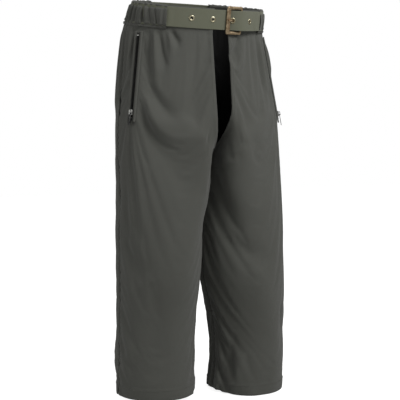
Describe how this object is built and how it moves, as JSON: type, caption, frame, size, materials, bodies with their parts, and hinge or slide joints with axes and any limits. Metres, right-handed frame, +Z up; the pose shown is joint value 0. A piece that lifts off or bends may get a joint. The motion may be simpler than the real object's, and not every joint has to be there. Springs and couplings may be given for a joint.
{
  "type": "chainsaw chaps",
  "caption": "Belt-hung protective leg chaps: two lined fabric legs with hip zips, joined by a webbing belt and brass frame buckle.",
  "frame": {"origin": "middle of the waist ring, where the wearer's waist carries the chaps", "axes": "+Z up along the standing legs, -Y to the wearer's front, +X to the wearer's left"},
  "size_m": [0.38, 0.2566, 0.8363],
  "materials": {
    "shell_canvas": "dull olive-grey canvas",
    "black_lining": "matt black woven lining",
    "protective_felt": "layered needle felt",
    "elastic_web": "ribbed elastic",
    "belt_webbing": "flat woven webbing",
    "zip_tape": "fine woven tape",
    "thread": "twisted thread",
    "antique_brass": "cast, worn satin",
    "zip_metal": "worn nickel"
  },
  "bodies": {
    "chaps": {"left_front_panel": "shell_canvas", "left_back_panel": "shell_canvas", "left_lining": "black_lining", "left_cut_protection_pad": "protective_felt", "left_pocket_bag": "black_lining", "left_waist_tunnel": "shell_canvas", "left_waist_elastic": "elastic_web", "left_slit_bar_tack": "thread", "left_zip_tape_front": "zip_tape", "left_zip_tape_back": "zip_tape", "left_zip_teeth": "zip_metal", "left_zip_top_stop": "zip_metal", "left_zip_bottom_stop": "zip_metal", "right_front_panel": "shell_canvas", "right_back_panel": "shell_canvas", "right_lining": "black_lining", "right_cut_protection_pad": "protective_felt", "right_pocket_bag": "black_lining", "right_waist_tunnel": "shell_canvas", "right_waist_elastic": "elastic_web", "right_slit_bar_tack": "thread", "right_zip_tape_front": "zip_tape", "right_zip_tape_back": "zip_tape", "right_zip_teeth": "zip_metal", "right_zip_top_stop": "zip_metal", "right_zip_bottom_stop": "zip_metal", "belt_strap": "belt_webbing", "belt_eyelet_1": "antique_brass", "belt_eyelet_2": "antique_brass", "belt_eyelet_3": "antique_brass", "belt_eyelet_4": "antique_brass"},
    "buckle": {"buckle_frame": "antique_brass"},
    "prong": {"buckle_prong": "antique_brass"},
    "left_slider": {"left_zip_slider": "zip_metal"},
    "left_puller": {"left_zip_puller": "zip_metal"},
    "right_slider": {"right_zip_slider": "zip_metal"},
    "right_puller": {"right_zip_puller": "zip_metal"}
  },
  "joints": [
    {"name": "buckle_swing", "type": "hinge", "parent": "chaps", "child": "buckle", "pos_m": [0.04901, -0.10971, -0.01935], "axis": [0, -0.1736, 0.9848], "range_deg": [0, 2]},
    {"name": "prong_swing", "type": "hinge", "parent": "buckle", "child": "prong", "pos_m": [0.04901, -0.10971, -0.01935], "axis": [0, -0.1736, 0.9848], "range_deg": [0, 2]},
    {"name": "left_zip_slide", "type": "slide", "parent": "chaps", "child": "left_slider", "axis": [-0.1447, 0.1071, 0.9837], "range_m": [0, 0.1525]},
    {"name": "left_puller_swing", "type": "hinge", "parent": "left_slider", "child": "left_puller", "pos_m": [0.17709, -0.057, -0.20914], "axis": [-0.5135, -0.8579, 0.0178], "range_deg": [0, 100]},
    {"name": "right_zip_slide", "type": "slide", "parent": "chaps", "child": "right_slider", "axis": [0.1447, 0.1071, 0.9837], "range_m": [0, 0.1525]},
    {"name": "right_puller_swing", "type": "hinge", "parent": "right_slider", "child": "right_puller", "pos_m": [-0.17709, -0.057, -0.20914], "axis": [-0.5135, 0.8579, -0.0178], "range_deg": [0, 100]}
  ]
}
